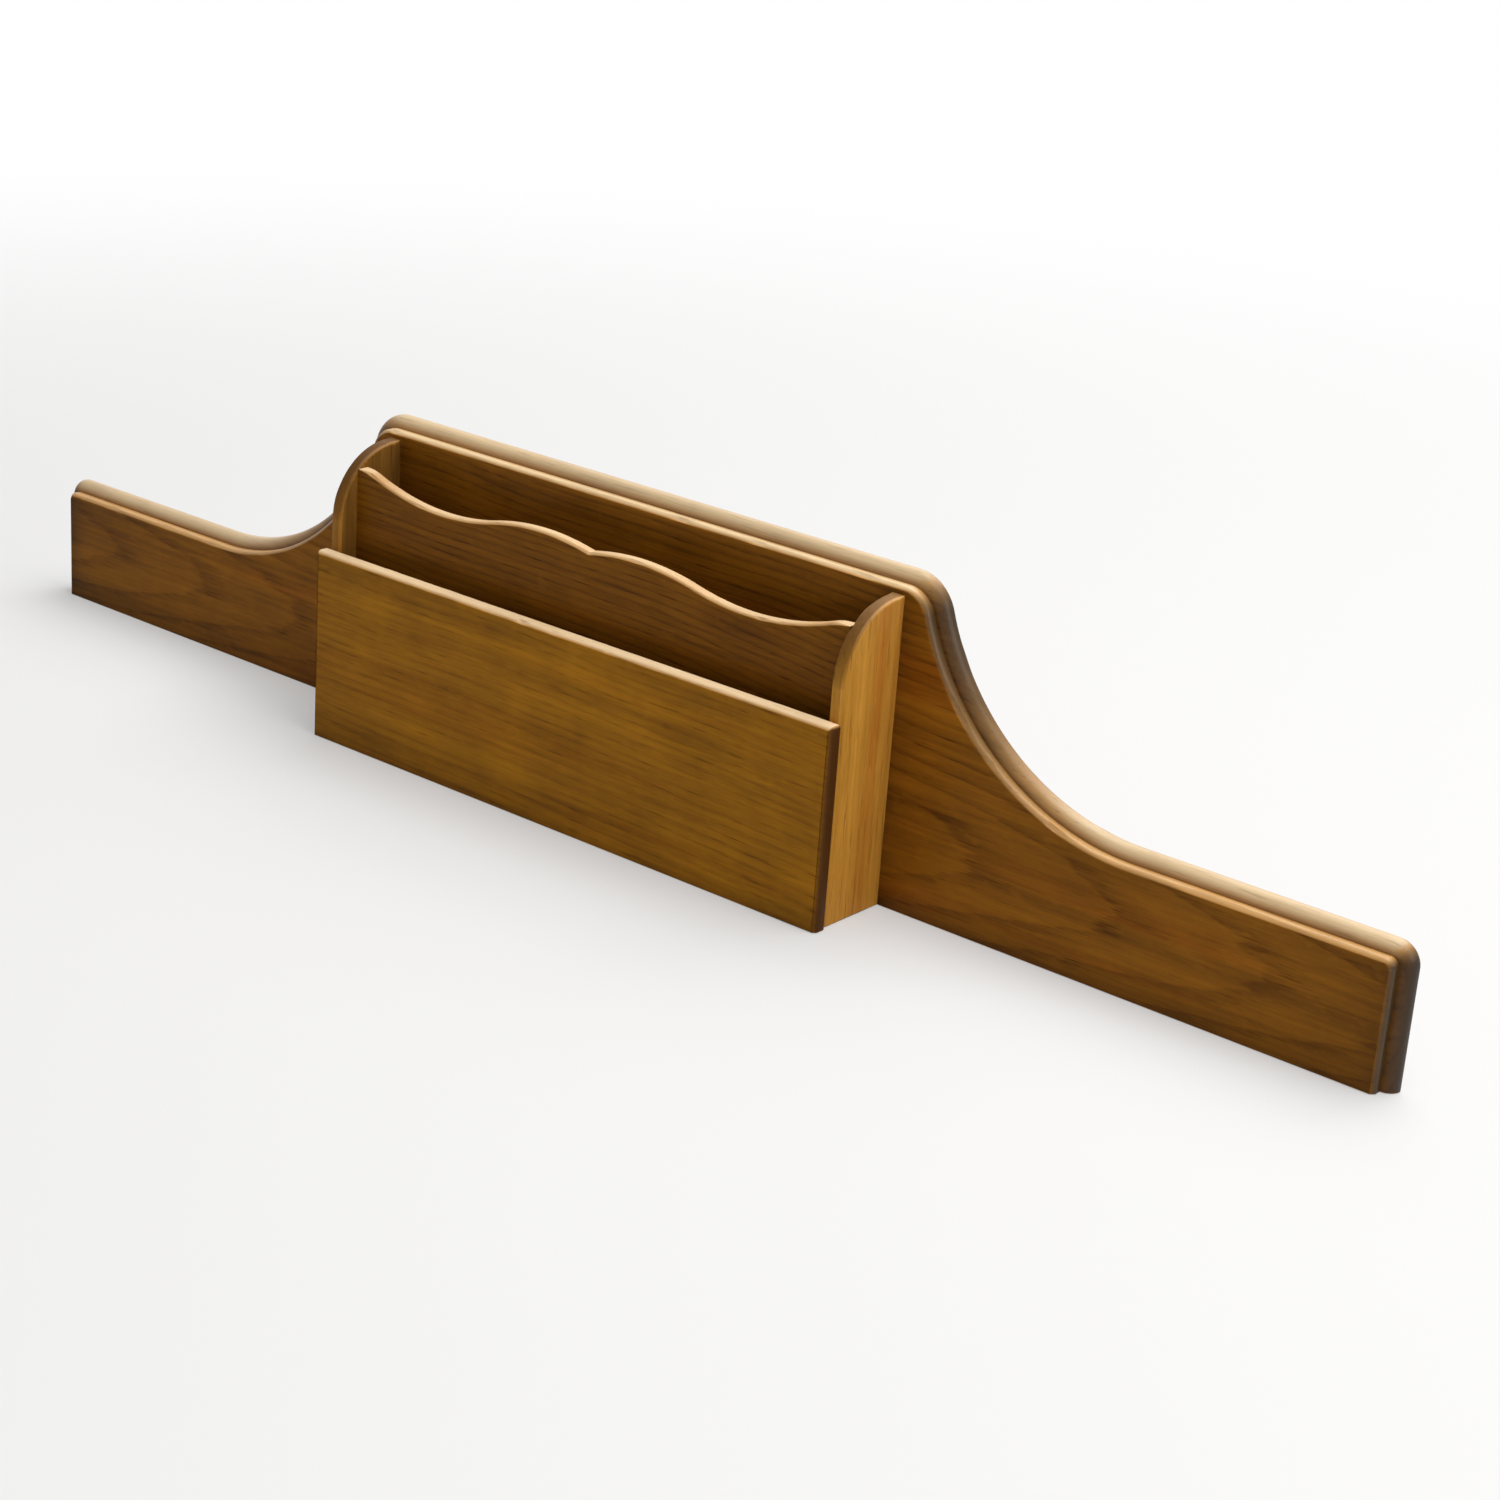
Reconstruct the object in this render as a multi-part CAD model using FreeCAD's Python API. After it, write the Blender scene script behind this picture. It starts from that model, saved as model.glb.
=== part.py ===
import FreeCAD, Part
import math
import os

# A letter holder in oak: a rack of two compartments planted on a wide shaped backboard.
# +X runs along the board, +Y to its back and +Z up, and the origin lies on the resting
# surface under the middle of the whole. All sizes are millimetres.

# Backboard
board_length = 782.0
board_thickness = 12.0
wing_height = 60.5
centre_height = 145.5
wing_corner_radius = 9.5
sweep_radius = 106.5
sweep_centre_x = 267.5
shoulder_radius = 19.5

# Moulding along the backboard's ends and top: a step behind the face, then a quarter round
moulding_inset = 5.5
moulding_step = 5.0
face_arris = 1.0
back_arris = 1.0

# Rack
rack_depth = 44.0
panel_length = 302.0
panel_height = 90.0
panel_thickness = 7.5
panel_overhang = 1.5
end_thickness = 6.5
end_height = 136.5
end_corner_radius = 33.0
board_arris = 0.9

# Divider, with a wavy top edge: a level tip, its round, a dip, a crest and a notch in the middle
divider_thickness = 6.0
front_compartment = 10.0
wave_radius = 130.0
crest_offset = 28.0
dip_offset = 89.0
dip_height = 118.5
tip_length = 7.5
tip_radius = 18.0
housing_height = 112.0

# Floor of the rack, and the depth of the grooves that hold it and the divider
floor_thickness = 6.0
floor_clearance = 4.0
groove_depth = 2.5

# Screws from the back into the ends, and pins from the front into the ends
screw_length = 28.0
screw_radius = 1.4
screw_head_radius = 2.8
screw_head_sink = 0.3
screw_point = 6.0
slot_width = 0.8
slot_depth = 0.9
screw_heights = (30.0, 105.0)
pin_length = 16.0
pin_radius = 0.8
pin_sink = 0.3
pin_point = 2.0
pin_heights = (20.0, 70.0)
hole_clearance = 0.05

# Pilot holes in the backboard's lower edge, for screws that come up through what it stands on
fixing_offsets = (120.0, 330.0)
fixing_radius = 1.75
fixing_depth = 24.0

# Places worked out from the sizes above
back_y = (rack_depth + board_thickness) / 2
board_face_y = back_y - board_thickness
panel_face_y = board_face_y - rack_depth
panel_back_y = panel_face_y + panel_thickness
end_outer_x = panel_length / 2 - panel_overhang
end_inner_x = end_outer_x - end_thickness
end_middle_x = end_outer_x - end_thickness / 2
divider_face_y = panel_back_y + front_compartment
groove_end_x = end_inner_x + groove_depth
floor_top = floor_clearance + floor_thickness

SIDES = (-1, 1)
CUT_PAST = 3.0
BLANK_MARGIN = 1.5
DIAGONAL = math.sqrt(0.5)


def point(x, y, z):
    return FreeCAD.Vector(x, y, z)


def line(start, end):
    return Part.makeLine(start, end)


def arc(start, middle, end):
    return Part.Arc(start, middle, end).toShape()


def block(low, high):
    """Box between two corners."""
    size = high - low
    return Part.makeBox(size.x, size.y, size.z, low)


def ease(solid, wanted):
    """Plane a small bevel on the edges that the test named wanted picks."""
    return solid.makeChamfer(board_arris, [edge for edge in solid.Edges if wanted(edge)])


def middle_of(edge):
    return edge.valueAt((edge.FirstParameter + edge.LastParameter) / 2)


def turned(profile, origin, direction):
    """Solid of revolution of (radius, depth) points about a line through origin."""
    wire = Part.makePolygon([point(radius, 0, depth) for radius, depth in profile + profile[:1]])
    solid = Part.Face(wire).revolve(point(0, 0, 0), point(0, 0, 1), 360)
    solid.Placement = FreeCAD.Placement(origin, FreeCAD.Rotation(point(0, 0, 1), direction))
    return solid


def both_sides(shapes):
    """Shapes of the right half, with their mirror images on the left."""
    return shapes + [shape.mirror(point(0, 0, 0), point(1, 0, 0)) for shape in shapes]


def outline_half(foot_z, margin):
    """Right half of the backboard's outline, moved out by a margin, from foot to middle of the top.

    It climbs the end, rounds the corner, follows the wing, and rises in a concave sweep that is
    tangent to the wing and to the round shoulder under the level top.
    """
    half = board_length / 2
    corner_x = half - wing_corner_radius
    corner_z = wing_height - wing_corner_radius
    shoulder_z = centre_height - shoulder_radius
    sweep_z = wing_height + sweep_radius
    lean = math.asin((sweep_z - shoulder_z) / (sweep_radius + shoulder_radius))
    shoulder_x = sweep_centre_x - (sweep_radius + shoulder_radius) * math.cos(lean)
    climb = (lean + math.pi / 2) / 2

    def on_circle(x, z, radius, angle):
        return point(x + radius * math.cos(angle), board_face_y, z + radius * math.sin(angle))

    def on_corner(angle):
        return on_circle(corner_x, corner_z, wing_corner_radius + margin, angle)

    def on_sweep(angle):
        return on_circle(sweep_centre_x, sweep_z, sweep_radius - margin, angle + math.pi)

    def on_shoulder(angle):
        return on_circle(shoulder_x, shoulder_z, shoulder_radius + margin, angle)

    level = math.pi / 2
    return [
        line(point(half + margin, board_face_y, foot_z), on_corner(0)),
        arc(on_corner(0), on_corner(level / 2), on_corner(level)),
        line(on_corner(level), on_sweep(level)),
        arc(on_sweep(level), on_sweep(climb), on_sweep(lean)),
        arc(on_shoulder(lean), on_shoulder(climb), on_shoulder(level)),
        line(on_shoulder(level), point(0, board_face_y, centre_height + margin)),
    ]


def moulding_waste(foot, outward):
    """Section of the wood taken off outside the moulding, square to the outline at foot."""

    def at(inward, depth):
        return point(foot.x, board_face_y + depth, foot.z) - outward * inward

    arris_in = moulding_inset + face_arris
    round_end = moulding_step + moulding_inset
    round_slant = moulding_inset * DIAGONAL
    flat_end = board_thickness - back_arris
    past_back = board_thickness + CUT_PAST
    edges = [
        line(at(arris_in, -CUT_PAST), at(arris_in, 0)),
        line(at(arris_in, 0), at(moulding_inset, face_arris)),
        line(at(moulding_inset, face_arris), at(moulding_inset, moulding_step)),
        arc(at(moulding_inset, moulding_step), at(moulding_inset - round_slant, round_end - round_slant),
            at(0, round_end)),
        line(at(0, round_end), at(0, flat_end)),
        line(at(0, flat_end), at(back_arris, board_thickness)),
        line(at(back_arris, board_thickness), at(back_arris, past_back)),
        line(at(back_arris, past_back), at(-CUT_PAST, past_back)),
        line(at(-CUT_PAST, past_back), at(-CUT_PAST, -CUT_PAST)),
        line(at(-CUT_PAST, -CUT_PAST), at(arris_in, -CUT_PAST)),
    ]
    return Part.Face(Part.Wire(edges))


def moulded_off(edge):
    """Wood taken off outside the moulding along one straight or round edge of the outline."""
    foot = edge.valueAt(edge.FirstParameter)
    heading = edge.tangentAt(edge.FirstParameter)
    section = moulding_waste(foot, point(0, 1, 0).cross(heading))
    if isinstance(edge.Curve, Part.Circle):
        turn = math.degrees(edge.LastParameter - edge.FirstParameter)
        return section.revolve(edge.Curve.Center, edge.Curve.Axis, turn)
    return section.extrude(heading * edge.Length)


def backboard():
    """Blank sawn a little outside the outline, moulded round its ends and top, and bored for screws."""
    half = board_length / 2 + BLANK_MARGIN
    lower_edge = line(point(-half, board_face_y, 0), point(half, board_face_y, 0))
    sawn = Part.__sortEdges__(both_sides(outline_half(0, BLANK_MARGIN)) + [lower_edge])
    blank = Part.Face(Part.Wire(sawn)).extrude(point(0, board_thickness, 0))
    waste = [moulded_off(edge) for edge in outline_half(-CUT_PAST, 0)]
    solid = blank.cut(both_sides(waste)).removeSplitter()

    holes = [screw_hole(point(end_middle_x, back_y, height)) for height in screw_heights]
    middle_y = (board_face_y + back_y) / 2
    for offset in fixing_offsets:
        holes.append(Part.makeCylinder(fixing_radius, fixing_depth, point(offset, middle_y, 0)))
    return solid.cut(both_sides(holes))


def screw_section(grow):
    """Half section of a countersunk screw, grown all round by a clearance for its hole."""
    head = screw_head_radius + grow
    shank = screw_radius + grow
    neck = screw_head_radius - screw_radius
    return [(0, 0), (head, 0), (shank, neck), (shank, screw_length - screw_point), (0, screw_length + grow)]


def screw_hole(back_face):
    """Bore for one screw, with its countersink run out through the board's back."""
    inwards = point(0, -1, 0)
    seat = back_face + inwards * screw_head_sink
    mouth = Part.makeCylinder(screw_head_radius + hole_clearance, CUT_PAST, seat, -inwards)
    return turned(screw_section(hole_clearance), seat, inwards).fuse(mouth)


def back_screws():
    """Slotted wood screws, in line through the backboard into the ends."""
    screws = []
    for side in SIDES:
        for height in screw_heights:
            head = point(side * end_middle_x, back_y - screw_head_sink, height)
            screw = turned(screw_section(0), head, point(0, -1, 0))
            half_slot = point(screw_head_radius + CUT_PAST, slot_depth, slot_width / 2)
            screws.append(screw.cut(block(head - half_slot, head + half_slot)))
    return Part.makeCompound(screws)


def pin_section(grow):
    """Half section of a fine pin, grown all round by a clearance for its hole."""
    radius = pin_radius + grow
    return [(0, 0), (radius, 0), (radius, pin_length - pin_point), (0, pin_length + grow)]


def front_pins():
    """Fine pins, punched just under the panel's face."""
    pins = []
    for side in SIDES:
        for height in pin_heights:
            head = point(side * end_middle_x, panel_face_y + pin_sink, height)
            pins.append(turned(pin_section(0), head, point(0, 1, 0)))
    return Part.makeCompound(pins)


def pin_holes(side):
    """Bores for one end's pins, run out through the panel's face."""
    holes = []
    for height in pin_heights:
        head = point(side * end_middle_x, panel_face_y + pin_sink, height)
        mouth = Part.makeCylinder(pin_radius + hole_clearance, CUT_PAST, head, point(0, -1, 0))
        holes.append(turned(pin_section(hole_clearance), head, point(0, 1, 0)).fuse(mouth))
    return holes


def floor_slot():
    """Space that the floor takes up in the grooves of the ends and the front panel."""
    return block(point(-groove_end_x, panel_back_y - groove_depth, floor_clearance),
                 point(groove_end_x, board_face_y, floor_top))


def front_panel():
    """Straight panel with its arrises eased, grooved behind for the floor."""
    half = panel_length / 2
    solid = block(point(-half, panel_face_y, 0), point(half, panel_back_y, panel_height))
    solid = ease(solid, lambda edge: middle_of(edge).z > 0)
    return solid.cut([floor_slot()] + pin_holes(-1) + pin_holes(1))


def end_board(side):
    """Upright end with a rounded front top corner, grooved inside for the floor and the divider."""
    inner = side * end_inner_x
    front = panel_back_y
    curve_y = front + end_corner_radius
    curve_z = end_height - end_corner_radius
    slant = end_corner_radius * DIAGONAL

    def at(y, z):
        return point(inner, y, z)

    outline = Part.Wire([
        line(at(board_face_y, 0), at(front, 0)),
        line(at(front, 0), at(front, curve_z)),
        arc(at(front, curve_z), at(curve_y - slant, curve_z + slant), at(curve_y, end_height)),
        line(at(curve_y, end_height), at(board_face_y, end_height)),
        line(at(board_face_y, end_height), at(board_face_y, 0)),
    ])
    solid = Part.Face(outline).extrude(point(side * end_thickness, 0, 0))

    def on_rim(edge):
        along = middle_of(edge)
        on_face = abs(abs(along.x) - (end_inner_x + end_thickness / 2)) > end_thickness / 4
        return on_face and along.z > 0 and along.y < board_face_y

    solid = ease(solid, on_rim)
    screws = [screw_hole(point(side * end_middle_x, back_y, height)) for height in screw_heights]
    return solid.cut([floor_slot(), divider_slot()] + screws + pin_holes(side))


def tip_height():
    """Height of the divider's level tips, where the dip's arc has risen to them."""
    reach = end_inner_x - tip_length - dip_offset
    return dip_height + wave_radius - math.sqrt(wave_radius ** 2 - reach ** 2)


def divider_slot():
    """Space that the divider takes up in the stopped grooves of the two ends."""
    return block(point(-groove_end_x, divider_face_y, floor_clearance),
                 point(groove_end_x, divider_face_y + divider_thickness, housing_height))


def divider():
    """Thin board with a wavy top, alike on both sides of the middle notch, and tongues for the grooves.

    Each level tip turns down through a small round that is tangent to it and to the dip. The tongues
    stop short, so that the tips above them butt against the ends.
    """
    dip_centre_z = dip_height + wave_radius
    meeting_x = (crest_offset + dip_offset) / 2
    rise = wave_radius - math.sqrt(wave_radius ** 2 - (dip_offset - meeting_x) ** 2)
    crest_height = dip_height + 2 * rise
    crest_centre_z = crest_height - wave_radius
    tip_z = tip_height()
    tip_turn = math.acos((dip_centre_z - tip_z + tip_radius) / (wave_radius + tip_radius))
    tip_x = dip_offset + (wave_radius + tip_radius) * math.sin(tip_turn)
    tip_end_x = tip_x - tip_radius * math.sin(tip_turn)

    def at(x, z):
        return point(x, divider_face_y, z)

    def on_tip(angle):
        return at(tip_x - tip_radius * math.sin(angle), tip_z - tip_radius * (1 - math.cos(angle)))

    def on_dip(x):
        return dip_centre_z - math.sqrt(wave_radius ** 2 - (x - dip_offset) ** 2)

    def on_crest(x):
        return crest_centre_z + math.sqrt(wave_radius ** 2 - (x - crest_offset) ** 2)

    right_half = [
        line(at(0, floor_top), at(groove_end_x, floor_top)),
        line(at(groove_end_x, floor_top), at(groove_end_x, housing_height)),
        line(at(groove_end_x, housing_height), at(end_inner_x, housing_height)),
        line(at(end_inner_x, housing_height), at(end_inner_x, tip_z)),
        line(at(end_inner_x, tip_z), at(tip_x, tip_z)),
        arc(on_tip(0), on_tip(tip_turn / 2), on_tip(tip_turn)),
        arc(at(tip_end_x, on_dip(tip_end_x)), at(dip_offset, dip_height), at(meeting_x, on_dip(meeting_x))),
        arc(at(meeting_x, on_crest(meeting_x)), at(crest_offset, crest_height), at(0, on_crest(0))),
    ]
    outline = Part.Wire(Part.__sortEdges__(both_sides(right_half)))
    solid = Part.Face(outline).extrude(point(0, divider_thickness, 0)).removeSplitter()

    def on_wave(edge):
        along = middle_of(edge)
        off_middle = abs(along.y - divider_face_y - divider_thickness / 2)
        between_ends = abs(along.x) < end_inner_x - board_arris
        return between_ends and along.z > dip_height - board_arris and off_middle > divider_thickness / 4

    return ease(solid, on_wave)


def bottom_board():
    """Thin floor under both compartments, held in the grooves."""
    return floor_slot()


PIECES = {
    "backboard": backboard(),
    "front_panel": front_panel(),
    "left_end": end_board(-1),
    "right_end": end_board(1),
    "divider": divider(),
    "bottom_board": bottom_board(),
    "back_screws": back_screws(),
    "front_pins": front_pins(),
}

os.makedirs("parts", exist_ok=True)
for name, shape in PIECES.items():
    shape.exportStep("parts/" + name + ".step")
    state = "valid" if shape.isValid() else "INVALID"
    print(name, state, len(shape.Solids), "solids", round(shape.Volume), "mm3")
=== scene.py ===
import math
from collections import namedtuple

import bmesh
import bpy
import numpy as np
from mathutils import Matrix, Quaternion, Vector
from mathutils.geometry import delaunay_2d_cdt


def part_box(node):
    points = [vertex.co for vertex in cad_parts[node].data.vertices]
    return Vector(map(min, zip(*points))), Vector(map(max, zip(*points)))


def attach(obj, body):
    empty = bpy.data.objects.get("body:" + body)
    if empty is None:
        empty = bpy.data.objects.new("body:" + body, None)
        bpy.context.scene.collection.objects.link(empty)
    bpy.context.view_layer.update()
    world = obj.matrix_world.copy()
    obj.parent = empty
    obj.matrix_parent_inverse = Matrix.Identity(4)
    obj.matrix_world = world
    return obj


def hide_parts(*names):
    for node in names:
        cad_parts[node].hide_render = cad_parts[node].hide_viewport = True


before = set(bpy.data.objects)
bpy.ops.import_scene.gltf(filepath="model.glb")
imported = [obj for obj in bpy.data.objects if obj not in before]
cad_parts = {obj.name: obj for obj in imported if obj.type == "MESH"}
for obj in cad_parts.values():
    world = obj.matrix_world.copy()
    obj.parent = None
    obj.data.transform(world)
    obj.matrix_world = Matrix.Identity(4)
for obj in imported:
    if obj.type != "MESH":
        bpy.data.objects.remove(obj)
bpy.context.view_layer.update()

bl_info = {
    "name": "Letter Holder",
    "version": (1, 0, 0),
    "blender": (4, 5, 0),
    "location": "View3D > Sidebar > Letter Holder",
    "description": "Builds an oak letter holder with a moulded backboard, rack, wavy divider and fastenings",
    "category": "Add Mesh",
}

BODY = "root"

# Boxes of the solid boards, which the finer pieces are fitted to
BOARD_LOW, BOARD_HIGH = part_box("backboard")
PANEL_LOW, PANEL_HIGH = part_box("front_panel")
END_LOW, END_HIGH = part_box("right_end")
DIVIDER_LOW, DIVIDER_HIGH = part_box("divider")
FLOOR_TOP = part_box("bottom_board")[1].z

MM = 0.001
QUARTER = math.pi / 2
BASE = 0.0
MERGE = 1e-6
SMOOTH_ANGLE = math.radians(38)

# Axis of a board's (along, up) path that its grain follows
GRAIN_ALONG, GRAIN_UP = 0, 1

# Wear: waves of the uneven rubbing, the nicks' spacing, depths and lengths, and the reach of wear on a face
RUB_WAVES = (0.31, 0.113, 0.047, 0.019)
NICK_SPACING = 40 * MM
NICK_DEPTHS = (0.25, 1.0)
NICK_SPREADS = (1.2 * MM, 4.0 * MM)
WEAR_REACH = 1.0 * MM

# Holes darken within this depth, by these shares of end grain and of painted shade in the recess
HOLE_MOUTH = 0.3 * MM
HOLE_END_GRAIN = 0.5
HOLE_SHADE = 0.6

# How close the marks of the wood lie along and across the grain, per metre
DRIFT = (3.2, 7.0, 7.0)
RAGGED = (11.0, 210.0, 210.0)
PORES = (60.0, 1500.0, 1500.0)
STREAKS = (5.0, 110.0, 110.0)
FIBRES = (16.0, 430.0, 430.0)
BLOTCHES = (26.0, 38.0, 38.0)
REDS = (2.6, 46.0, 46.0)
RAYS = (95.0, 330.0, 260.0)

# The same for the steel
TARNISH = (420.0, 420.0, 420.0)
SCRATCHES = (2600.0, 900.0, 900.0)

# Marks that the grain gives to the finish
GRAIN_MARKS = ("Early Wood", "Pores", "Streaks", "Fibres", "Blotches", "Reds", "Rays")

# Tints that multiply the wood's colour
RED_TINT = (0.95, 0.68, 0.6, 1.0)
PORE_TINT = (0.34, 0.3, 0.26, 1.0)
BARE_DARK_TINT = (0.95, 0.92, 0.87, 1.0)
BARE_PORE_TINT = (0.5, 0.42, 0.36, 1.0)
AMBER_TINT = (0.96, 0.74, 0.48, 1.0)

WHITE = (1.0, 1.0, 1.0, 1.0)


# Settings that a user would change

def length(name, description, default):
    return bpy.props.FloatProperty(name=name, description=description, default=default, unit="LENGTH",
                                   precision=4)


def power(name, description, default):
    return bpy.props.FloatProperty(name=name, description=description, default=default, unit="POWER")


def share(name, description, default):
    return bpy.props.FloatProperty(name=name, description=description, default=default, subtype="FACTOR")


def colour(name, description, default):
    """Colour from red, green and blue, with full alpha."""
    return bpy.props.FloatVectorProperty(name=name, description=description, default=(*default, 1.0), size=4,
                                         min=0.0, max=1.0, subtype="COLOR")


def place(name, description, default):
    return bpy.props.FloatVectorProperty(name=name, description=description, default=default, size=3,
                                         subtype="XYZ", unit="LENGTH")


class BackboardSettings(bpy.types.PropertyGroup):
    wing_height: length("Wing height", "Height of the low wings", 60.5 * MM)
    wing_corner: length("Wing corner", "Radius of the wings' top corners", 9.5 * MM)
    sweep_radius: length("Sweep radius", "Radius of the concave sweeps", 106.5 * MM)
    sweep_middle: length("Sweep middle", "Distance of a sweep's centre from the middle", 267.5 * MM)
    shoulder_radius: length("Shoulder radius", "Radius of the round shoulders", 19.5 * MM)
    inset: length("Moulding inset", "Width of the quarter round beside the step", 5.5 * MM)
    step: length("Moulding step", "Depth of the step behind the face", 5.0 * MM)
    face_arris: length("Face arris", "Rounding of the face's worn edge", 1.8 * MM)
    back_arris: length("Back arris", "Rounding of the back's edge", 1.0 * MM)


class RackSettings(bpy.types.PropertyGroup):
    end_corner: length("End corner", "Radius of the ends' front top corner", 33.0 * MM)
    arris: length("Arris", "Rounding of the rack's worn edges", 1.2 * MM)
    wave_radius: length("Wave radius", "Radius of every arc of the divider's top", 130.0 * MM)
    crest_offset: length("Crest offset", "Distance of the crests from the middle", 28.0 * MM)
    dip_offset: length("Dip offset", "Distance of the dips from the middle", 89.0 * MM)
    dip_height: length("Dip height", "Height of the dips", 118.5 * MM)
    tip_length: length("Tip length", "Length of the divider's level tips", 7.5 * MM)
    clear_width: length("Clear width", "Width of the compartments between the ends", 286.0 * MM)


class FinishSettings(bpy.types.PropertyGroup):
    # The backboard's and panel's stains are set darker partly as painted shade on the boards that face front
    board_dark: colour("Backboard dark", "Darker stain of the backboard", (0.11, 0.038, 0.003))
    board_light: colour("Backboard light", "Lighter stain of the backboard", (0.37, 0.14, 0.009))
    panel_dark: colour("Panel dark", "Darker stain of the front panel", (0.155, 0.058, 0.0025))
    panel_light: colour("Panel light", "Lighter stain of the front panel", (0.455, 0.188, 0.007))
    # One oak for both ends: the right end's stain is a lighter copy that paints the light falling on it, the
    # left end's a darker copy that paints shade
    right_dark: colour("Right end dark", "Darker stain of the right end", (0.335, 0.141, 0.016))
    right_light: colour("Right end light", "Lighter stain of the right end", (0.63, 0.3, 0.045))
    left_dark: colour("Left end dark", "Darker stain of the left end", (0.2, 0.085, 0.012))
    left_light: colour("Left end light", "Lighter stain of the left end", (0.42, 0.19, 0.03))
    # The pale worn colours are set bright enough to paint the highlight on the rubbed edges as well as the
    # bare wood
    worn: colour("Worn wood", "Pale wood where the rack's edges have worn", (0.97, 0.72, 0.44))
    board_worn: colour("Worn backboard", "Pale wood where the backboard's edges have worn", (0.9, 0.66, 0.37))
    divider_dark: colour("Divider dark", "Darker stain of the divider", (0.09, 0.031, 0.0025))
    divider_light: colour("Divider light", "Lighter stain of the divider", (0.3, 0.112, 0.007))
    end_grain: colour("End grain", "Dark wood where the rack's grain ends", (0.06, 0.02, 0.003))
    # The backboard's end grain colour is dark partly as painted shade on its shaded legs
    board_end: colour("Backboard end", "Dark wood where the backboard's grain ends", (0.024, 0.015, 0.007))
    # The grime colour darkens real dirt, and also paints shade in corners, holes, along the feet and on the
    # ends' inner faces
    grime: colour("Grime", "Dark dirt in the corners", (0.018, 0.011, 0.006))
    steel: colour("Steel", "Dulled steel of the screws and pins", (0.3, 0.28, 0.26))
    tarnish: colour("Tarnish", "Brown tarnish on the steel", (0.09, 0.055, 0.032))


class StageSettings(bpy.types.PropertyGroup):
    eye: place("Eye", "Place of the camera", (0.8325, -0.9394, 0.5054))
    aim: place("Aim", "Point that the camera looks at", (0.0881, 0.0, 0.0554))
    roll: bpy.props.FloatProperty(name="Roll", description="Turn of the camera about its own axis",
                                  default=math.radians(4.2), unit="ROTATION")
    lens: bpy.props.FloatProperty(name="Lens", description="Focal length", default=72.74, unit="CAMERA")
    floor: colour("Floor", "Plain pale floor", (0.76, 0.756, 0.747))
    key_power: power("Key power", "Power of the lamp overhead", 50.0)
    side_power: power("Side power", "Power of the lamp at the right", 10.0)
    back_power: power("Back power", "Power of the lamp over the floor behind", 30.0)
    sky: share("Sky", "Strength of the light from all round", 0.22)
    least_white: share("Least white", "Share of plain white in the floor near the middle", 0.3)
    near: length("Shadow reach", "Distance from the middle within which the floor shows its own shade", 0.42)
    far: length("White reach", "Distance from the middle beyond which the floor is plain white", 1.6)


class HolderSettings(bpy.types.PropertyGroup):
    backboard: bpy.props.PointerProperty(type=BackboardSettings)
    rack: bpy.props.PointerProperty(type=RackSettings)
    finish: bpy.props.PointerProperty(type=FinishSettings)
    stage: bpy.props.PointerProperty(type=StageSettings)


# Surfaces

# Points of an edge from the face to the back, as arrays that may differ along the edge.
# inward and depth give the place, facing is 1 where the surface looks outwards, the pale wear is 1 on an
# arris, where it also paints a highlight, shelter is the share of that wear that an edge escapes where it
# does not look up, bite is the way that wear moves a point in depth, and the darkening is 1 in a corner, as
# dirt and painted shade.
Section = namedtuple("Section", "inward depth facing wear shelter bite grime")

Grid = namedtuple("Grid", "points wear end_grain grime")


def wander(distance, wavelengths, seed):
    """Uneven value between about -1 and 1: the mean of sine waves with fixed random phases."""
    phases = np.random.default_rng(seed).uniform(0, 2 * math.pi, len(wavelengths))
    waves = np.sin(2 * math.pi * distance[:, None] / np.asarray(wavelengths) + phases)
    return waves.mean(axis=1)


def arc_points(centre, radius, start, end, count):
    """Points of an arc: centre plus radius times (cosine, sine) of an angle that runs evenly."""
    angle = np.linspace(start, end, count)
    return np.stack([centre[0] + radius * np.cos(angle), centre[1] + radius * np.sin(angle)], axis=1)


def straight_points(start, end, count):
    """Points of a straight line, evenly spaced."""
    return np.asarray(start) + np.linspace(0, 1, count)[:, None] * (np.asarray(end) - np.asarray(start))


def chain(*runs):
    """Runs of points as one path, with the points that two runs share kept once."""
    path = np.concatenate(runs)
    step = np.linalg.norm(np.diff(path, axis=0), axis=1)
    return path[np.concatenate([[True], step > MERGE])]


def mirrored(half):
    """A half path that ends on the middle line, followed by its mirror image."""
    return chain(half, half[::-1] * (-1, 1))


def outward_of(path):
    """Outward normals of a path that runs from right to left: its direction turned a quarter to the right."""
    along = np.gradient(path, axis=0)
    outward = np.stack([along[:, 1], -along[:, 0]], axis=1)
    outward /= np.linalg.norm(outward, axis=1)[:, None]
    outward[0] = (1, 0)
    outward[-1] = (-1, 0)
    return outward


def fading(distance, reach):
    """1 at no distance, and less by a factor of e for each reach further away."""
    return np.exp(-np.clip(distance, 0, None) / reach)


def run_length(path):
    """Distance along a path at each of its points."""
    return np.concatenate([[0], np.cumsum(np.linalg.norm(np.diff(path, axis=0), axis=1))])


def quarter_section(inward, depth, radius, turn, bite, shelter=0.99):
    """Quarter round about the middle (inward, depth), with turn running from facing forward to backward."""
    level = 0 * turn + 0 * radius
    return Section(inward - radius * np.sin(turn), depth - radius * np.cos(turn), np.sin(turn) + level,
                   abs(np.sin(turn)) ** 0.5 + level, shelter + level,
                   bite * np.sin(2 * (turn % QUARTER)) + level, level)


def joined_section(*parts):
    """Parts of an edge in order, from the face to the back."""
    rows = max(part.inward.shape[0] for part in parts)
    layers = [[np.broadcast_to(value, (rows, value.shape[1])) for value in values] for values in zip(*parts)]
    return Section(*[np.concatenate(layer, axis=1) for layer in layers])


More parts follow.
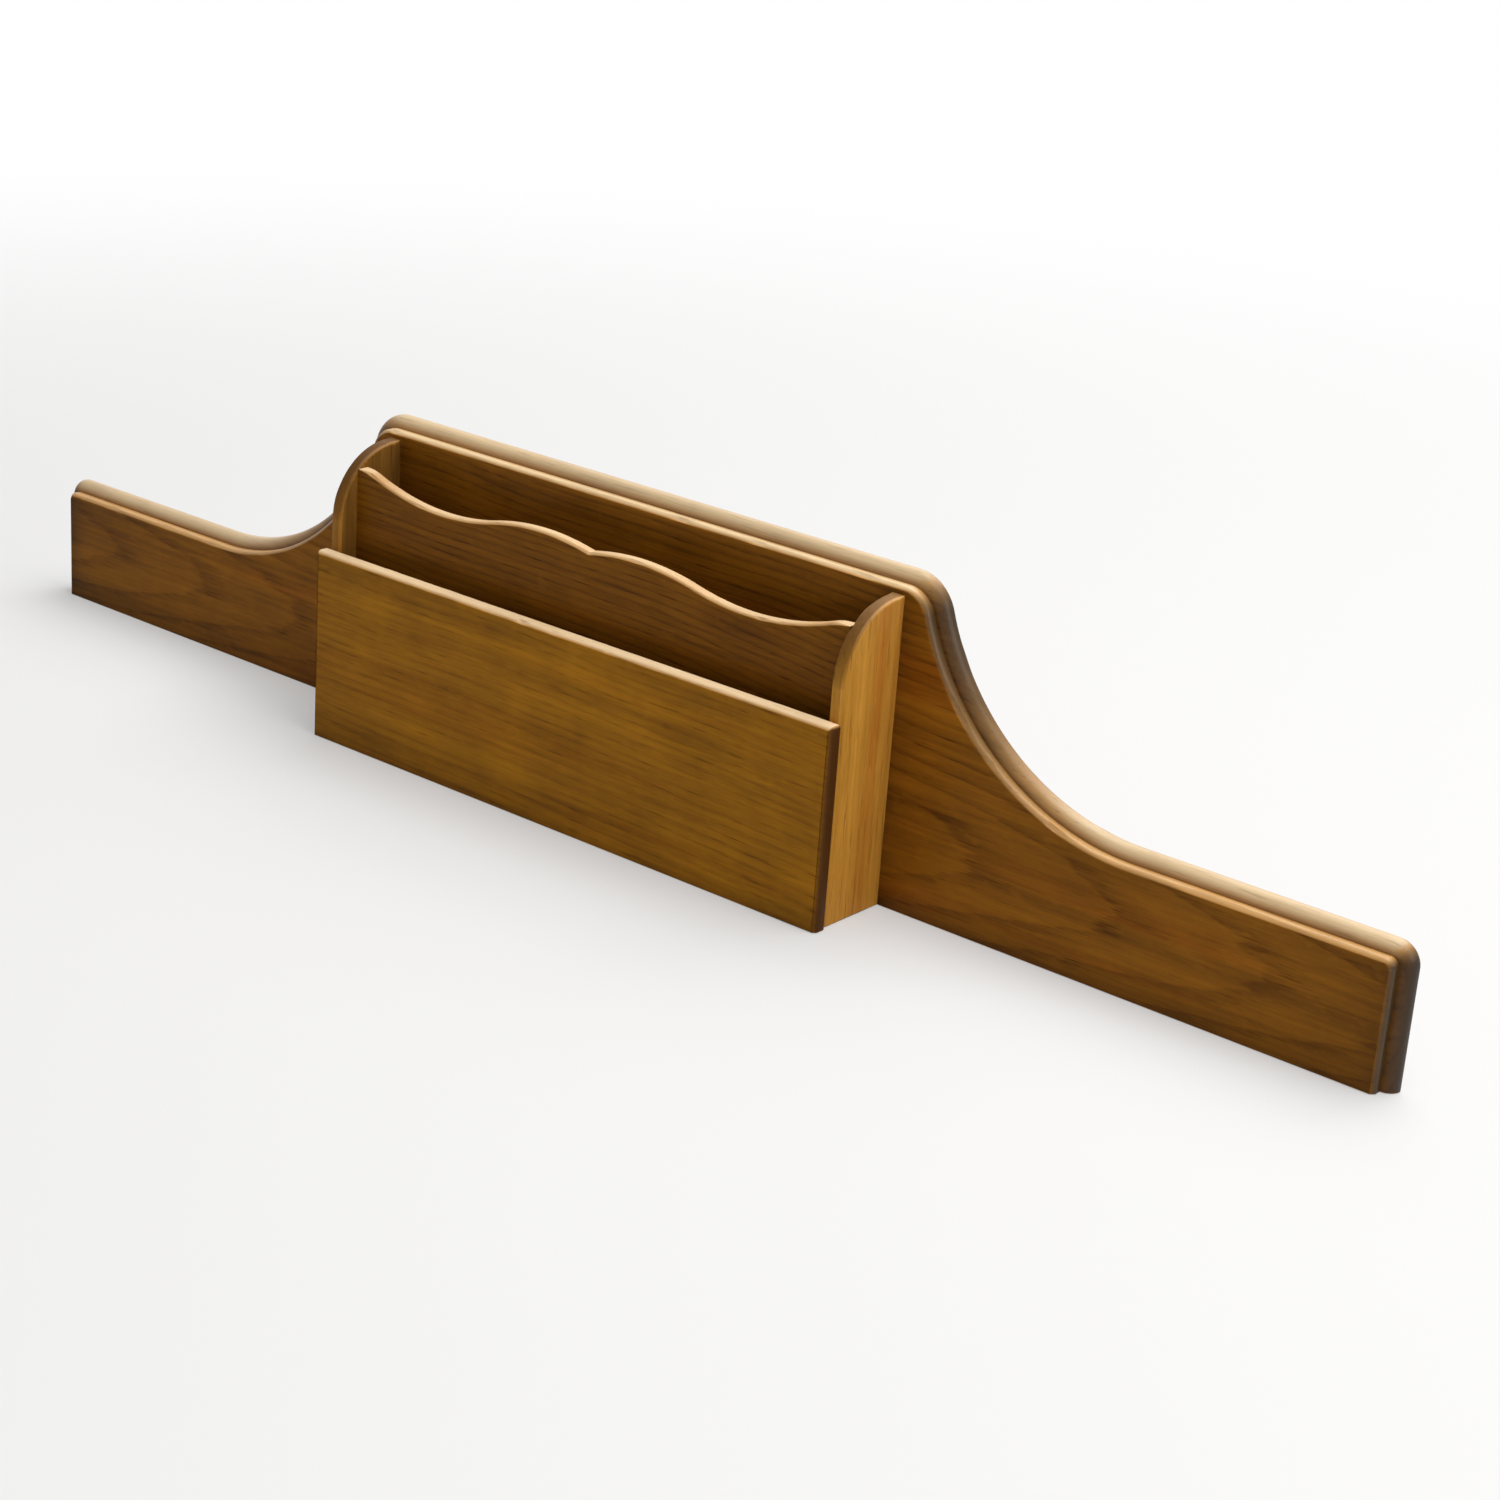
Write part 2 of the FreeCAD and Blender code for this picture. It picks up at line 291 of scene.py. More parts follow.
def eased_section(thickness, arris, count=6):
    """Plain board edge: a quarter round, a flat, and another quarter round, with a radius for each place."""
    radius = np.asarray(arris, float)[:, None]
    front = np.linspace(0, QUARTER, count)[None, :]
    back = np.linspace(QUARTER, 2 * QUARTER, count)[None, :]
    return joined_section(quarter_section(radius, radius, radius, front, 1),
                          quarter_section(radius, thickness - radius, radius, back, -1))


def moulded_section(board, thickness, rubbed):
    """Moulded edge: an arris rubbed by a share for each place, a step, a quarter round and an eased back."""
    rubbed = rubbed[:, None]
    one = np.ones_like(rubbed)
    arris = board.face_arris * one
    inset = board.inset * one
    front = np.linspace(0, QUARTER, 6)[None, :]
    ovolo = np.linspace(0, QUARTER, 13)[None, :]
    back = np.linspace(QUARTER, 2 * QUARTER, 5)[None, :]
    face_edge = quarter_section(inset + arris, arris, arris, front, 1, shelter=0.92)
    face_edge = face_edge._replace(wear=rubbed * face_edge.wear)

    # Riser of the step: points at shares of its depth, rubbed at the arris, with painted shade in the corner
    riser_depth = one * np.array([[0.5, 0.75, 0.97]]) * board.step
    riser_wear = np.array([[1.0, 0.9, 0.6]])
    riser_shade = np.array([[0.0, 0.0, 0.2]])
    level = 0 * riser_depth
    riser = Section(board.inset + level, riser_depth, 1 + level, rubbed * riser_wear, 0.95 + level, level,
                    one * riser_shade)

    # The round is darkened all over and more beside the step, where the extra darkening is painted shade in
    # the corner, and it is more worn towards the back
    beside_step = np.linspace(1, 0, ovolo.shape[1])[None, :] ** 3
    rounded = quarter_section(inset, board.step + inset, inset, ovolo, 0)
    rounded = rounded._replace(wear=one * (1 - 0.6 * beside_step), grime=one * (0.3 + 0.25 * beside_step))
    ease = board.back_arris * one
    eased = quarter_section(ease, thickness - board.back_arris, ease, back, -1)
    return joined_section(face_edge, riser, rounded, eased._replace(wear=0.5 * eased.wear))


def nicks(distance, count, seed):
    """Small dents along an edge: the sum of bell curves with random places, depths and lengths."""
    draw = np.random.default_rng(seed)
    middle = draw.uniform(0, distance[-1], count)
    depth = draw.uniform(*NICK_DEPTHS, count)
    spread = draw.uniform(*NICK_SPREADS, count)
    return (depth * np.exp(-((distance[:, None] - middle) / spread) ** 2)).sum(axis=1)


def worn_down(section, distance, amount, seed):
    """Section whose arrises are rubbed away unevenly and nicked: points move in and away from the face."""
    rub = amount * (0.5 + 0.5 * wander(distance, RUB_WAVES, seed))
    rub = (rub + amount * nicks(distance, int(distance[-1] / NICK_SPACING), seed + 1))[:, None]
    return section._replace(inward=section.inward + rub * abs(section.bite),
                            depth=section.depth + rub * section.bite)


def rows_up(height, count):
    """Heights of a column's points: even steps, with closer ones near its foot and its top."""
    foot = 0.4 * MM
    top = 4 * MM
    below_top = np.array([[2.2], [0.9], [0.0]]) * MM
    even = foot + np.linspace(0, 1, count)[:, None] * (height - top - foot)[None, :]
    return np.concatenate([0 * height[None, :], even, height[None, :] - below_top])


def board_grids(path, section, base, rows, grain_axis):
    """Grids of a board that stands on a straight base under a path from its right leg to its left leg.

    The rim is the section carried along the path, square to it. The legs carry its two ends down to
    the base. The two faces are ruled from the rim's first and last lines straight down to the base,
    and the foot joins their lower edges. Points are (along, depth, up).
    """
    outward = outward_of(path)
    along = path[:, :1] - outward[:, :1] * section.inward
    up = path[:, 1:] - outward[:, 1:] * section.inward
    turned = abs(outward[:, grain_axis][:, None]) * section.facing
    # The pale wear falls off steeply where the edge turns away from looking up, so it also paints a highlight
    # on the edges that face up
    looks_up = np.clip(outward[:, 1], 0, 1)[:, None] ** 4
    worn = section.wear * (1 - section.shelter * (1 - looks_up))
    rim = Grid(np.stack([along, section.depth, up], axis=2), worn, turned ** 0.5, section.grime)

    def columns(pick):
        """Points of the columns that stand on the base under one line, or one end, of the rim."""
        heights = base + rows_up(up[pick] - base, rows)
        lines = [np.broadcast_to(value[pick], heights.shape) for value in (along, section.depth)]
        return np.stack([*lines, heights], axis=2)

    def leg(end):
        points = columns(end)
        exposed = (grain_axis == GRAIN_ALONG) * section.facing[end] ** 0.5
        layers = (worn[end], exposed, section.grime[end])
        return Grid(points, *[np.broadcast_to(layer, points.shape[:2]) for layer in layers])

    def face(line):
        points = columns((slice(None), line))
        edge = along[:, line]
        gap = np.minimum(up[:, line] - points[..., 2], np.minimum(edge[0] - edge, edge - edge[-1]))
        wear = worn[:, line] * np.exp(-(gap / WEAR_REACH) ** 2)
        return Grid(points, wear, np.zeros(wear.shape), np.zeros(wear.shape))

    foot = Grid(np.stack([along, section.depth, np.full_like(along, base)], axis=2), 0 * along,
                0 * along + (grain_axis == GRAIN_UP), 0 * along)
    return {"rim": rim, "right_leg": leg(0), "left_leg": leg(-1), "front": face(0), "back": face(-1),
            "foot": foot}


def revolved(profile, centre, axis, count=40):
    """Surface of revolution: each (radius, depth) of a profile carried round an axis through centre."""
    radius, depth = np.asarray(profile, float).T
    angle = np.linspace(0, 2 * math.pi, count)
    first = np.array([axis[1], axis[2], axis[0]], float)
    second = np.cross(axis, first)
    ring = np.cos(angle)[:, None] * first + np.sin(angle)[:, None] * second
    points = np.asarray(centre) + ring[:, None, :] * radius[None, :, None] + np.outer(depth, axis)[None]
    # Painted shade of the recess and end grain of the wall grow with depth in a hole
    inside = np.broadcast_to(np.clip(depth / HOLE_MOUTH, 0, 1), points.shape[:2])
    return Grid(points, 0 * inside, HOLE_END_GRAIN * inside, HOLE_SHADE * inside)


def plate(loop, holes, flat):
    """Flat polygon with holes, square to the axis flat: points, and triangles that keep its loops' edges."""
    kept = [axis for axis in range(3) if axis != flat]
    rings = (loop, *holes)
    corners = np.concatenate(rings)
    edges = []
    first = 0
    for ring in rings:
        index = first + np.arange(len(ring))
        edges.extend(zip(index.tolist(), np.roll(index, -1).tolist()))
        first += len(ring)
    spots = [Vector(spot) for spot in corners[:, kept].tolist()]
    inside_only = 1
    tolerance = 1e-8
    spots, _, triangles, sources, *_ = delaunay_2d_cdt(spots, edges, [], inside_only, tolerance)
    points = np.full((len(spots), 3), corners[0, flat])
    points[:, kept] = [tuple(spot) for spot in spots]
    ring_of = np.repeat(np.arange(len(rings)), [len(ring) for ring in rings])
    owners = ring_of[[source[0] for source in sources]][np.array(triangles)]
    in_hole = (owners[:, 0] > 0) & (owners[:, 0] == owners[:, 1]) & (owners[:, 0] == owners[:, 2])
    return points, np.array(triangles)[~in_hole].tolist()


def grid_faces(rows, columns, first):
    """Quads of a grid whose points are numbered row by row from first."""
    index = first + np.arange(rows * columns).reshape(rows, columns)
    return np.stack([index[:-1, :-1], index[:-1, 1:], index[1:, 1:], index[1:, :-1]], axis=-1).reshape(-1, 4)


def add_object(name, data):
    """Object at the origin, in the scene."""
    made = bpy.data.objects.new(name, data)
    bpy.context.scene.collection.objects.link(made)
    return made


def make_piece(name, grids, plates=()):
    """One closed mesh from grids and flat plates: shared points are merged and the faces turned outward."""
    points = [grid.points.reshape(-1, 3) for grid in grids]
    faces = []
    count = 0
    for grid in grids:
        faces.extend(grid_faces(*grid.points.shape[:2], count).tolist())
        count += grid.points.shape[0] * grid.points.shape[1]
    for corners, triangles in plates:
        faces.extend([[corner + count for corner in triangle] for triangle in triangles])
        points.append(corners)
        count += len(corners)

    mesh = bpy.data.meshes.new(name)
    mesh.from_pydata(np.concatenate(points).tolist(), [], faces)
    plain = np.zeros(sum(len(corners) for corners, _ in plates))
    for layer in ("wear", "end_grain", "grime"):
        values = np.concatenate([getattr(grid, layer).ravel() for grid in grids] + [plain])
        mesh.attributes.new(layer, "FLOAT", "POINT").data.foreach_set("value", values.astype(np.float32))

    shell = bmesh.new()
    shell.from_mesh(mesh)
    bmesh.ops.remove_doubles(shell, verts=shell.verts, dist=MERGE)
    bmesh.ops.dissolve_degenerate(shell, edges=shell.edges, dist=MERGE)
    bmesh.ops.recalc_face_normals(shell, faces=shell.faces)
    open_edges = [edge for edge in shell.edges if len(edge.link_faces) != 2]
    if open_edges:
        raise RuntimeError(f"{name} has {len(open_edges)} open edges near {open_edges[0].verts[0].co}")
    shell.to_mesh(mesh)
    shell.free()
    mesh.set_sharp_from_angle(angle=SMOOTH_ANGLE)
    # Only flat faces are triangles, so the rounding of an edge does not shade them
    sides = np.empty(len(mesh.polygons), dtype=np.int32)
    mesh.polygons.foreach_get("loop_total", sides)
    mesh.polygons.foreach_set("use_smooth", sides > 3)
    return add_object(name, mesh)


def dress(piece, material, slot, *nodes):
    """Give a finished piece its material and body, and hide the solid that it stands for; the slot is not
    used.
    """
    piece.data.materials.append(material)
    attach(piece, BODY)
    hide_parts(*nodes)


def standing_in(grids, face_y):
    """Grids of a board whose face looks along -Y: (along, depth, up) becomes (x, y, z)."""
    return [grid._replace(points=grid.points + (0, face_y, 0)) for grid in grids]


# Node trees

def put(tree, kind, inputs=None, **settings):
    """Add a shader node of a kind, set its properties, and link or set its inputs."""
    made = tree.nodes.new("ShaderNode" + kind)
    for key, value in settings.items():
        setattr(made, key, value)
    for key, value in (inputs or {}).items():
        if isinstance(value, bpy.types.NodeSocket):
            tree.links.new(value, made.inputs[key])
        else:
            made.inputs[key].default_value = value
    return made


def calc(tree, operation, *values):
    """Output of one arithmetic node."""
    return put(tree, "Math", dict(enumerate(values)), operation=operation).outputs[0]


def remap(tree, value, low, high, to_low=0.0, to_high=1.0):
    """Value eased from one range to another."""
    inputs = {"Value": value, "From Min": low, "From Max": high, "To Min": to_low, "To Max": to_high}
    return put(tree, "MapRange", inputs, interpolation_type="SMOOTHSTEP").outputs["Result"]


def mix(tree, factor, first, second, blend="MIX"):
    """Colour between two colours."""
    inputs = {0: factor, 6: first, 7: second}
    return put(tree, "Mix", inputs, data_type="RGBA", blend_type=blend).outputs[2]


def tinted(tree, shade, tint):
    """Colour multiplied by a tint."""
    return mix(tree, 1.0, shade, tint, "MULTIPLY")


def noise(tree, vector, stretch, detail, roughness=0.55):
    """Noise whose spots are longer along the grain than across it."""
    scaled = put(tree, "VectorMath", {0: vector, 1: stretch}, operation="MULTIPLY").outputs[0]
    inputs = {"Vector": scaled, "Scale": 1.0, "Detail": detail, "Roughness": roughness}
    return put(tree, "TexNoise", inputs).outputs[0]


def new_group(name, inputs, outputs):
    """Empty shader group with named sockets, and its input and output nodes."""
    tree = bpy.data.node_groups.new(name, "ShaderNodeTree")
    for way, sockets in (("INPUT", inputs), ("OUTPUT", outputs)):
        for label, kind in sockets.items():
            tree.interface.new_socket(name=label, in_out=way, socket_type="NodeSocket" + kind)
    return tree, tree.nodes.new("NodeGroupInput").outputs, tree.nodes.new("NodeGroupOutput").inputs


def oak_grain_group():
    """Marks of oak with its grain along X: growth rings about a leaning heart, and stretched noises."""
    if "oak_grain" in bpy.data.node_groups:
        return bpy.data.node_groups["oak_grain"]
    tree, given, made = new_group(
        "oak_grain",
        {"Vector": "Vector", **dict.fromkeys(("Ring Spacing", "Heart Depth", "Lean", "Wander"), "Float")},
        dict.fromkeys(GRAIN_MARKS, "Float"))
    vector = given["Vector"]
    x, y, z = put(tree, "SeparateXYZ", {0: vector}).outputs
    drift = calc(tree, "SUBTRACT", noise(tree, vector, DRIFT, 2.0), 0.5)
    across = calc(tree, "MULTIPLY_ADD", drift, given["Wander"], z)
    heart = calc(tree, "MULTIPLY_ADD", x, given["Lean"], given["Heart Depth"])
    behind = calc(tree, "ADD", y, heart)
    radius = calc(tree, "SQRT", calc(tree, "ADD", calc(tree, "MULTIPLY", across, across),
                                     calc(tree, "MULTIPLY", behind, behind)))
    ragged = calc(tree, "SUBTRACT", noise(tree, vector, RAGGED, 4.0, 0.65), 0.5)
    rings = calc(tree, "DIVIDE", radius, given["Ring Spacing"])
    ring = calc(tree, "FRACT", calc(tree, "MULTIPLY_ADD", ragged, 0.55, rings))
    early = calc(tree, "MULTIPLY", remap(tree, ring, 0.06, 0.5, 1.0, 0.0), remap(tree, ring, 0.0, 0.06))
    pores = remap(tree, noise(tree, vector, PORES, 2.0), 0.54, 0.66)
    tree.links.new(early, made["Early Wood"])
    pores = calc(tree, "MULTIPLY", pores, calc(tree, "MULTIPLY_ADD", early, 0.65, 0.35))
    tree.links.new(pores, made["Pores"])
    tree.links.new(noise(tree, vector, STREAKS, 5.0, 0.65), made["Streaks"])
    tree.links.new(noise(tree, vector, FIBRES, 3.0, 0.6), made["Fibres"])
    tree.links.new(noise(tree, vector, BLOTCHES, 4.0, 0.6), made["Blotches"])
    tree.links.new(remap(tree, noise(tree, vector, REDS, 3.0), 0.5, 0.72), made["Reds"])
    tree.links.new(remap(tree, noise(tree, vector, RAYS, 2.0), 0.59, 0.69), made["Rays"])
    return tree


def oak_finish_group():
    """Stain and varnish over the grain, with darker end grain, dirt and painted shade in corners, and pale
    worn edges that also paint highlights.
    """
    if "oak_finish" in bpy.data.node_groups:
        return bpy.data.node_groups["oak_finish"]
    masks = (*GRAIN_MARKS, "End Grain", "Grime", "Wear", "Figure", "Mottle", "Redness", "Sheen")
    colours = ("Dark", "Light", "Worn Colour", "End Colour", "Grime Colour")
    tree, given, made = new_group(
        "oak_finish",
        {**dict.fromkeys(masks, "Float"), **dict.fromkeys(colours, "Color")},
        {"Color": "Color", "Roughness": "Float", "Coat": "Float", "Height": "Float"})

    def middled(label):
        return calc(tree, "SUBTRACT", given[label], 0.5)

    tone = calc(tree, "MULTIPLY_ADD", middled("Streaks"), 1.1, 0.6)
    tone = calc(tree, "MULTIPLY_ADD", middled("Fibres"), 0.75, tone)
    tone = calc(tree, "MULTIPLY_ADD", middled("Blotches"), given["Mottle"], tone)
    tone = calc(tree, "SUBTRACT", tone, calc(tree, "MULTIPLY", given["Early Wood"], given["Figure"]))
    tone = put(tree, "Clamp", {"Value": tone}).outputs[0]
    wood = mix(tree, tone, given["Dark"], given["Light"])
    reds = calc(tree, "MULTIPLY", given["Reds"], given["Redness"])
    wood = mix(tree, reds, wood, tinted(tree, wood, RED_TINT))
    wood = mix(tree, calc(tree, "MULTIPLY", given["Rays"], 0.2), wood, given["Light"])
    wood = mix(tree, calc(tree, "MULTIPLY", given["Pores"], 0.6), wood, tinted(tree, wood, PORE_TINT))
    wood = mix(tree, given["End Grain"], wood, given["End Colour"])

    # Worn wood is amber where half of the stain is left, and pale where it is bare; the pale wood also stands
    # in for the highlight on rubbed edges
    bare = mix(tree, tone, tinted(tree, given["Worn Colour"], BARE_DARK_TINT), given["Worn Colour"])
    bare = mix(tree, remap(tree, given["Wear"], 0.55, 0.95), tinted(tree, bare, AMBER_TINT), bare)
    bare = mix(tree, calc(tree, "MULTIPLY", given["Pores"], 0.4), bare, tinted(tree, bare, BARE_PORE_TINT))
    patchy = remap(tree, given["Blotches"], 0.3, 0.5, 0.9, 1.0)
    wood = mix(tree, calc(tree, "MULTIPLY", given["Wear"], patchy), wood, bare)

    # Dirt and painted shade lie more heavily on the darker streaks
    on_dark_streaks = remap(tree, given["Streaks"], 0.25, 0.7, 1.0, 0.6)
    wood = mix(tree, calc(tree, "MULTIPLY", given["Grime"], on_dark_streaks), wood, given["Grime Colour"])
    tree.links.new(wood, made["Color"])

    gloss = calc(tree, "MULTIPLY_ADD", given["Pores"], 0.2, 0.36)
    gloss = calc(tree, "MULTIPLY_ADD", given["Blotches"], 0.14, gloss)
    tree.links.new(calc(tree, "MULTIPLY_ADD", given["Wear"], 0.14, gloss), made["Roughness"])
    rounded = calc(tree, "MAXIMUM", given["Wear"], calc(tree, "MULTIPLY", given["End Grain"], 0.5))
    tree.links.new(calc(tree, "MULTIPLY_ADD", rounded, given["Sheen"], 0.02), made["Coat"])
    relief = calc(tree, "MULTIPLY_ADD", given["Pores"], -0.7, calc(tree, "MULTIPLY", given["Fibres"], 0.45))
    tree.links.new(calc(tree, "MULTIPLY_ADD", given["Early Wood"], -0.3, relief), made["Height"])
    return tree


def new_material(name):
    """Material with an empty node tree, and the tree."""
    material = bpy.data.materials.new(name)
    material.use_nodes = True
    material.node_tree.nodes.clear()
    return material, material.node_tree


def oak_material(name, dark, light, offset, turn=(0.0, 0.0, 0.0), spacing=3.4 * MM, heart=46 * MM, lean=0.05,
                 sway=26 * MM, figure=0.24, mottle=0.7, redness=0.6, sheen=0.05, worn=None, end_grain=None):
    """Stained and varnished oak, with the grain along X after the turn."""
    finish = bpy.context.scene.letter_holder.finish
    material, tree = new_material(name)
    spot = put(tree, "TexCoord").outputs["Object"]
    mapped = put(tree, "Mapping", {"Vector": spot, "Location": offset, "Rotation": turn}).outputs[0]
    grain = put(tree, "Group", {"Vector": mapped, "Ring Spacing": spacing, "Heart Depth": heart, "Lean": lean,
                                "Wander": sway}, node_tree=oak_grain_group())
    marks = {mark.name: mark for mark in grain.outputs}
    layers = {"End Grain": "end_grain", "Grime": "grime", "Wear": "wear"}
    masks = {label: put(tree, "Attribute", attribute_name=layer).outputs["Fac"]
             for label, layer in layers.items()}
    coat = put(tree, "Group",
               {**marks, **masks, "Dark": dark, "Light": light, "Worn Colour": worn or finish.worn,
                "End Colour": end_grain or finish.end_grain, "Grime Colour": finish.grime, "Figure": figure,
                "Mottle": mottle, "Redness": redness, "Sheen": sheen}, node_tree=oak_finish_group())
    bump = put(tree, "Bump",
               {"Strength": 0.35, "Distance": 0.25 * MM, "Height": coat.outputs["Height"]})
    surface = put(tree, "BsdfPrincipled",
                  {"Base Color": coat.outputs["Color"], "Roughness": coat.outputs["Roughness"],
                   "Coat Weight": coat.outputs["Coat"], "Normal": bump.outputs[0], "Specular IOR Level": 0.05,
                   "Coat Roughness": 0.28})
    put(tree, "OutputMaterial", {"Surface": surface.outputs[0]})
    return material


def steel_material(name):
    """Dulled steel: grey metal with brown tarnish in blotches and fine scratches in its gloss."""
    finish = bpy.context.scene.letter_holder.finish
    material, tree = new_material(name)
    spot = put(tree, "TexCoord").outputs["Object"]
    blotch = noise(tree, spot, TARNISH, 4.0)
    fine = noise(tree, spot, SCRATCHES, 2.0)
    tarnish = remap(tree, blotch, 0.42, 0.66)
    shade = mix(tree, tarnish, finish.steel, finish.tarnish)
    rough = calc(tree, "MULTIPLY_ADD", tarnish, 0.3, calc(tree, "MULTIPLY_ADD", fine, 0.2, 0.22))
    bump = put(tree, "Bump", {"Strength": 0.2, "Distance": 0.05 * MM, "Height": fine})
    surface = put(tree, "BsdfPrincipled",
                  {"Base Color": shade, "Roughness": rough, "Metallic": calc(tree, "SUBTRACT", 1.0, tarnish),
                   "Normal": bump.outputs[0]})
    put(tree, "OutputMaterial", {"Surface": surface.outputs[0]})
    return material


def seen_directly(tree):
    """1 where the camera, gloss or glass sees a surface, and 0 where only soft light falls on it."""
    path = put(tree, "LightPath").outputs
    mirrored_or_through = calc(tree, "MAXIMUM", path["Is Glossy Ray"], path["Is Transmission Ray"])
    return calc(tree, "MAXIMUM", path["Is Camera Ray"], mirrored_or_through)


def repaint(node, material):
    """Put a procedural material on a solid that shows as it is."""
    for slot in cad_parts[node].material_slots:
        slot.material = material


# Operators

class LETTERHOLDER_OT_backboard(bpy.types.Operator):
    """Wide shaped board with a moulded edge, countersunk behind for screws and bored below"""
    bl_idname = "letter_holder.backboard"
    bl_label = "Backboard"

    # Screws from behind and pilot holes from below, in the places that the solid has them
    screw_heights = (30 * MM, 105 * MM)
    screw_radius = 1.45 * MM
    head_radius = 2.85 * MM
    head_sink = 0.3 * MM
    fixing_places = (120 * MM, 330 * MM)
    fixing_radius = 1.75 * MM
    fixing_depth = 24 * MM
    fixing_mouth = 0.5 * MM

    # Wear: least share of rubbing, on the wings, and the depth that is rubbed away
    wing_rub = 0.72
    rub_depth = 0.45 * MM
    rub_seed = 11

    # Darkening of the face, as painted shade beside and inside the rack and along the foot, and towards the
    # tips: shares, and the distances in which it fades
    rack_shade = 0.45
    rack_fade = 9 * MM
    rack_overlap = 12 * MM
    rack_left_share = 0.3
    inside_fade = 7 * MM
    foot_shade = 0.5
    foot_fade = 5 * MM
    tip_darkening = 0.45
    tip_fade = 40 * MM
    tip_edge_darkening = 0.4
    tip_edge_fade = 6 * MM
    tip_right_share = 0.45
    most_darkening = 0.9

    rows = 15
    grain_offset = (0.13, 0.0, -0.034)

    def outline(self, board):
        """Half outline from the wing's corner to the middle of the top: arc, line, sweep, shoulder, line."""
        half = BOARD_HIGH.x
        top = BOARD_HIGH.z
        sweep = (board.sweep_middle, board.wing_height + board.sweep_radius)
        shoulder_z = top - board.shoulder_radius
        reach = board.sweep_radius + board.shoulder_radius
        lean = math.asin((sweep[1] - shoulder_z) / reach)
        shoulder = (sweep[0] - reach * math.cos(lean), shoulder_z)
        corner = (half - board.wing_corner, board.wing_height - board.wing_corner)
        return chain(
            arc_points(corner, board.wing_corner, 0, QUARTER, 13),
            straight_points((corner[0], board.wing_height), (sweep[0], board.wing_height), 30),
            arc_points(sweep, board.sweep_radius, 3 * QUARTER, math.pi + lean, 48),
            arc_points(shoulder, board.shoulder_radius, lean, QUARTER, 20),
            straight_points((shoulder[0], top), (0, top), 40))

    def face_darkening(self, grid):
        """Darkening of the face, fading with distance: painted shade beside the rack, inside it and along the
        foot, and darker towards both tips.
        """
        x = abs(grid.points[..., 0])
        right = grid.points[..., 0] > 0
        from_tip = x.max() - x
        # Painted shade beside the rack, weaker on the left where more light falls
        beside = fading(x - END_HIGH.x, self.rack_fade)
        beside = beside * (x > END_HIGH.x - self.rack_overlap) * np.where(right, 1.0, self.rack_left_share)
        # Painted shade on the face inside the rack, beside the ends
        inside = fading(END_LOW.x - x, self.inside_fade) * (x < END_LOW.x)
        # Painted shadow along the foot
        foot = fading(grid.points[..., 2], self.foot_fade)
        # Darker towards both tips
        tips = self.tip_darkening * fading(from_tip, self.tip_fade)
        tips = tips + self.tip_edge_darkening * fading(from_tip, self.tip_edge_fade)
        tips = tips * np.where(right, self.tip_right_share, 1.0)
        grime = self.rack_shade * np.maximum(beside, inside) + self.foot_shade * foot + tips
        return grid._replace(grime=np.clip(grime, 0, self.most_darkening))

    def execute(self, context):
        holder = context.scene.letter_holder
        board = holder.backboard
        path = mirrored(self.outline(board))
        thickness = BOARD_HIGH.y - BOARD_LOW.y
        rise = (path[:, 1] - board.wing_height) / (BOARD_HIGH.z - board.wing_height)
        rubbed = self.wing_rub + (1 - self.wing_rub) * np.clip(rise, 0, 1)
        section = moulded_section(board, thickness, rubbed)
        section = worn_down(section, run_length(path), self.rub_depth, self.rub_seed)
        grids = board_grids(path, section, BASE, self.rows, GRAIN_ALONG)
        grids["front"] = self.face_darkening(grids["front"])
        # Plates with holes take the place of the plain back and foot
        del grids["back"]
        foot = grids.pop("foot").points
        placed = standing_in(grids.values(), BOARD_LOW.y)

        lift = (0, BOARD_LOW.y, 0)
        legs = [grids[side].points[:, -1] for side in ("left_leg", "right_leg")]
        rim = grids["rim"].points[:, -1]
        back_loop = np.concatenate([legs[1], rim[1:-1], legs[0][::-1]]) + lift
        foot_loop = np.concatenate([foot[:, 0], foot[-1, 1:], foot[0, :0:-1]]) + lift
        screw_x = (END_LOW.x + END_HIGH.x) / 2
        neck = self.head_radius - self.screw_radius
        countersink = [(self.head_radius, 0), (self.head_radius, self.head_sink),
                       (self.screw_radius, self.head_sink + neck), (0, self.head_sink + neck)]
        sinks = [revolved(countersink, (side * screw_x, BOARD_HIGH.y, height), (0, -1, 0))
                 for side in (-1, 1) for height in self.screw_heights]
        drilled = [(self.fixing_radius, 0), (self.fixing_radius, self.fixing_mouth),
                   (self.fixing_radius, self.fixing_depth), (0, self.fixing_depth)]
        middle_y = (BOARD_LOW.y + BOARD_HIGH.y) / 2
        bores = [revolved(drilled, (side * along, middle_y, 0), (0, 0, 1))
                 for side in (-1, 1) for along in self.fixing_places]
        plates = [plate(back_loop, [sink.points[:-1, 0] for sink in sinks], 1),
                  plate(foot_loop, [bore.points[:-1, 0] for bore in bores], 2)]
        piece = make_piece("oak_backboard", [*placed, *sinks, *bores], plates)
        finish = holder.finish
        oak = oak_material("backboard_oak", finish.board_dark, finish.board_light, self.grain_offset,
                           sheen=0.9, worn=finish.board_worn, end_grain=finish.board_end)
        dress(piece, oak, "backboard_oak", "backboard")
        return {"FINISHED"}


